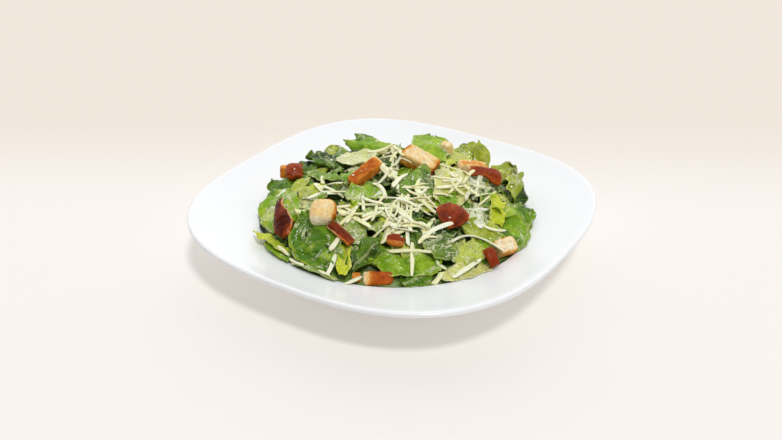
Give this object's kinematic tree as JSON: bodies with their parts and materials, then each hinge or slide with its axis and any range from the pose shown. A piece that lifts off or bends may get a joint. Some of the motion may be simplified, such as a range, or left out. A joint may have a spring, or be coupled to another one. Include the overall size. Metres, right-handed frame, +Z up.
{
  "type": "caesar salad",
  "caption": "Romaine leaves heaped in a rounded-square rim plate, with croutons, fried bacon, shredded hard cheese and a creamy dressing.",
  "frame": {"origin": "On the table, under the middle of the plate.", "axes": "+Z up. The plate's flat sides face +X, -X, +Y and -Y. The food is laid out for a diner who sits 32.43 degrees round from -Y towards +X."},
  "size_m": [0.28, 0.28, 0.0787],
  "materials": {
    "porcelain": "white glazed porcelain",
    "lettuce": "fresh romaine, wet with dressing",
    "toast": "toasted bread, browned at the edges",
    "bacon": "fried bacon, greasy"
  },
  "bodies": {
    "root": {"plate": "porcelain", "salad": "lettuce", "crouton_1": "toast", "crouton_2": "toast", "crouton_3": "toast", "crouton_4": "toast", "crouton_5": "toast", "crouton_6": "toast", "crouton_7": "toast", "crouton_8": "toast", "crouton_9": "toast", "bacon_1": "bacon", "bacon_2": "bacon", "bacon_3": "bacon", "bacon_4": "bacon", "bacon_5": "bacon", "bacon_6": "bacon", "bacon_7": "bacon"}
  },
  "joints": []
}
